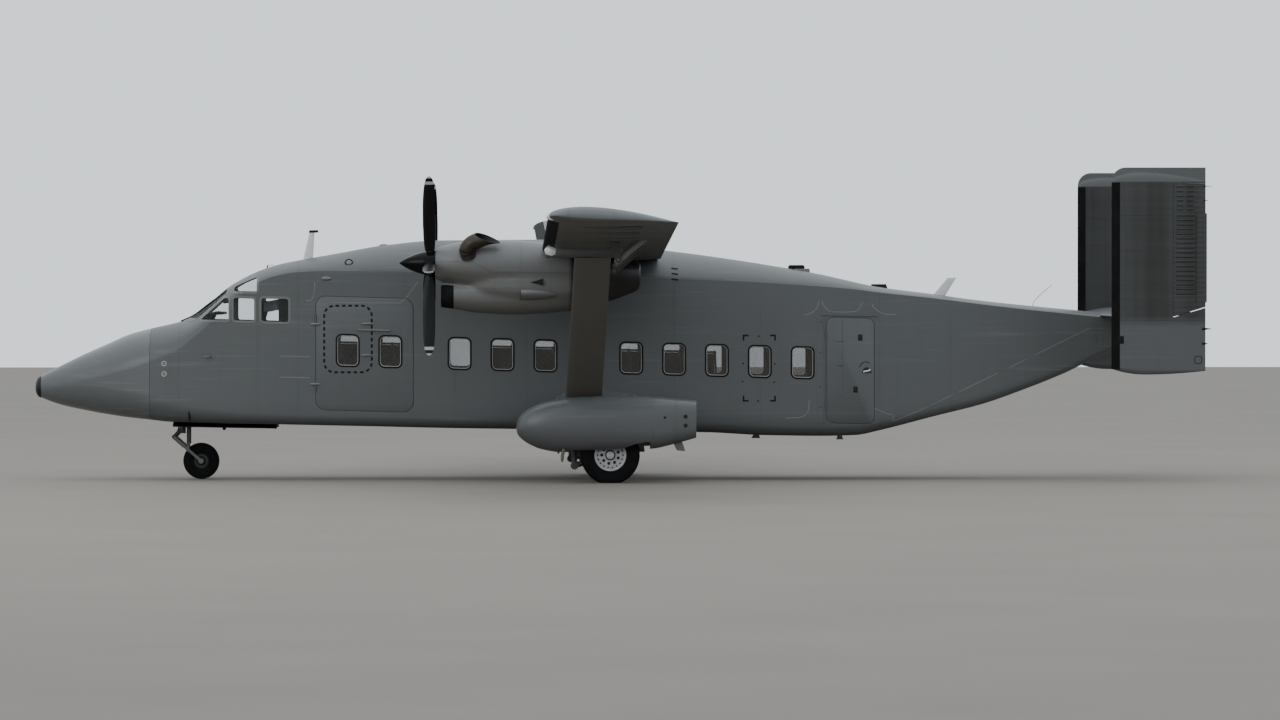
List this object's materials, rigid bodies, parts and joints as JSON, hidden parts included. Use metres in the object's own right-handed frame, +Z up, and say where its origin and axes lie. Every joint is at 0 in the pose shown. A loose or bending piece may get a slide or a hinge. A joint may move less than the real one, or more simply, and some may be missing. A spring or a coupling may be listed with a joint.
{
  "type": "twin-turboprop utility transport aircraft",
  "caption": "Slab-sided transport aircraft with a strut-braced high wing, turboprop engines, twin fins, side cargo door and rear ramp, standing on its wheels.",
  "frame": {"origin": "on the ground under the middle of the aircraft's bounding box", "axes": "+X points aft, +Y to the aircraft's right, +Z up"},
  "size_m": [17.72, 22.76, 4.745],
  "materials": {
    "grey_paint": "matt grey aircraft paint, scuffed and streaked",
    "black_paint": "satin black paint",
    "black_rubber_paint": "dull black erosion coat",
    "lining": "dull interior paint",
    "glazing": "clear acrylic and laminated glass",
    "cockpit_trim": "matt black trim",
    "seat_cloth": "woven seat cloth",
    "bare_metal": "dull painted and bare alloy",
    "wheel_paint": "pale grey enamel, dusty",
    "tyre_rubber": "black tyre rubber",
    "heat_stained_steel": "brown heat-stained steel"
  },
  "bodies": {
    "airframe": {"nose_cap": "black_rubber_paint", "nose_cone": "grey_paint", "cockpit_shell": "grey_paint", "cockpit_deck": "lining", "cockpit_glazing": "glazing", "instrument_panel": "cockpit_trim", "seat_left": "seat_cloth", "seat_right": "seat_cloth", "belly": "grey_paint", "cabin_wall_left": "grey_paint", "cabin_wall_right": "grey_paint", "roof_front": "grey_paint", "roof_rear": "grey_paint", "wing_centre": "grey_paint", "cargo_floor": "bare_metal", "bulkhead": "lining", "tail_shell": "grey_paint", "wing_outer_left": "grey_paint", "wing_outer_right": "grey_paint", "strut_left": "grey_paint", "strut_right": "grey_paint", "sponson_left": "grey_paint", "sponson_right": "grey_paint", "main_leg_left": "bare_metal", "main_leg_right": "bare_metal", "nose_leg": "bare_metal", "bay_door_left": "black_paint", "bay_door_right": "black_paint", "nacelle_left": "grey_paint", "nacelle_right": "grey_paint", "engine_left": "bare_metal", "engine_right": "bare_metal", "exhaust_left_outer": "heat_stained_steel", "exhaust_left_inner": "heat_stained_steel", "exhaust_right_outer": "heat_stained_steel", "exhaust_right_inner": "heat_stained_steel", "tailplane": "grey_paint", "fin_left": "grey_paint", "fin_right": "grey_paint"},
    "cargo_door": {"cargo_door": "grey_paint"},
    "passenger_door": {"passenger_door": "grey_paint"},
    "rear_ramp": {"rear_ramp": "grey_paint"},
    "flap_inner_left": {"flap_inner_left": "grey_paint"},
    "flap_inner_right": {"flap_inner_right": "grey_paint"},
    "flap_outer_left": {"flap_outer_left": "grey_paint"},
    "flap_outer_right": {"flap_outer_right": "grey_paint"},
    "aileron_left": {"aileron_left": "grey_paint"},
    "aileron_right": {"aileron_right": "grey_paint"},
    "elevator": {"elevator": "grey_paint"},
    "rudder_left": {"rudder_left": "grey_paint"},
    "rudder_right": {"rudder_right": "grey_paint"},
    "propeller_left": {"propeller_left": "black_paint"},
    "propeller_right": {"propeller_right": "black_paint"},
    "main_wheel_left": {"main_wheel_left": "wheel_paint", "main_tyre_left": "tyre_rubber"},
    "main_wheel_right": {"main_wheel_right": "wheel_paint", "main_tyre_right": "tyre_rubber"},
    "nose_fork": {"nose_fork": "bare_metal"},
    "nose_wheel": {"nose_wheel": "wheel_paint", "nose_tyre": "tyre_rubber"}
  },
  "joints": [
    {"name": "cargo_door_hinge", "type": "hinge", "parent": "airframe", "child": "cargo_door", "pos_m": [-4.535, -1.115, 1.93], "axis": [0, 0, -1], "range_deg": [0, 160]},
    {"name": "passenger_door_hinge", "type": "hinge", "parent": "airframe", "child": "passenger_door", "pos_m": [3.235, -1.115, 1.68], "axis": [0, 0, -1], "range_deg": [0, 160]},
    {"name": "rear_ramp_hinge", "type": "hinge", "parent": "airframe", "child": "rear_ramp", "pos_m": [4.071, 0, 0.7654], "axis": [0, 1, 0], "range_deg": [0, 31]},
    {"name": "flap_inner_left_hinge", "type": "hinge", "parent": "airframe", "child": "flap_inner_left", "pos_m": [-0.06, -1.7, 3.085], "axis": [0, 1, 0], "range_deg": [0, 35]},
    {"name": "flap_inner_right_hinge", "type": "hinge", "parent": "airframe", "child": "flap_inner_right", "pos_m": [-0.06, 1.7, 3.085], "axis": [0, 1, 0], "range_deg": [0, 35]},
    {"name": "flap_outer_left_hinge", "type": "hinge", "parent": "airframe", "child": "flap_outer_left", "pos_m": [-0.06, -5.95, 3.27629], "axis": [0, 0.9986, -0.0523], "range_deg": [0, 35]},
    {"name": "flap_outer_right_hinge", "type": "hinge", "parent": "airframe", "child": "flap_outer_right", "pos_m": [-0.06, 5.95, 3.27629], "axis": [0, 0.9986, 0.0523], "range_deg": [0, 35]},
    {"name": "aileron_left_hinge", "type": "hinge", "parent": "airframe", "child": "aileron_left", "pos_m": [0.26945, -9.41, 3.8043], "axis": [0, 0.9986, -0.0523], "range_deg": [-20, 20]},
    {"name": "aileron_right_hinge", "type": "hinge", "parent": "airframe", "child": "aileron_right", "pos_m": [0.26945, 9.41, 3.8043], "axis": [0, 0.9986, 0.0523], "range_deg": [-20, 20]},
    {"name": "elevator_hinge", "type": "hinge", "parent": "airframe", "child": "elevator", "pos_m": [8.31, 0, 2.565], "axis": [0, 1, 0], "range_deg": [-28, 18]},
    {"name": "rudder_left_hinge", "type": "hinge", "parent": "airframe", "child": "rudder_left", "pos_m": [8.37, -2.84, 3.5], "axis": [0, 0, 1], "range_deg": [-25, 25]},
    {"name": "rudder_right_hinge", "type": "hinge", "parent": "airframe", "child": "rudder_right", "pos_m": [8.37, 2.84, 3.5], "axis": [0, 0, 1], "range_deg": [-25, 25]},
    {"name": "propeller_left_spin", "type": "hinge", "parent": "airframe", "child": "propeller_left", "pos_m": [-2.76, -2.9, 3.312], "axis": [1, 0, 0], "continuous": true},
    {"name": "propeller_right_spin", "type": "hinge", "parent": "airframe", "child": "propeller_right", "pos_m": [-2.76, 2.9, 3.312], "axis": [1, 0, 0], "continuous": true},
    {"name": "main_wheel_left_spin", "type": "hinge", "parent": "airframe", "child": "main_wheel_left", "pos_m": [-0.074, -2.12, 0.42], "axis": [0, 1, 0], "continuous": true},
    {"name": "main_wheel_right_spin", "type": "hinge", "parent": "airframe", "child": "main_wheel_right", "pos_m": [-0.074, 2.12, 0.42], "axis": [0, 1, 0], "continuous": true},
    {"name": "nose_steering", "type": "hinge", "parent": "airframe", "child": "nose_fork", "pos_m": [-6.6, 0, 0.8], "axis": [0, 0, 1], "range_deg": [-50, 50]},
    {"name": "nose_wheel_spin", "type": "hinge", "parent": "nose_fork", "child": "nose_wheel", "pos_m": [-6.315, 0, 0.278], "axis": [0, 1, 0], "continuous": true}
  ],
  "couplings": [
    {"joint": "flap_inner_left_hinge", "follows": "flap_outer_left_hinge", "ratio": 1},
    {"joint": "flap_inner_right_hinge", "follows": "flap_outer_left_hinge", "ratio": 1},
    {"joint": "flap_outer_right_hinge", "follows": "flap_outer_left_hinge", "ratio": 1},
    {"joint": "aileron_right_hinge", "follows": "aileron_left_hinge", "ratio": -1},
    {"joint": "rudder_right_hinge", "follows": "rudder_left_hinge", "ratio": 1}
  ]
}
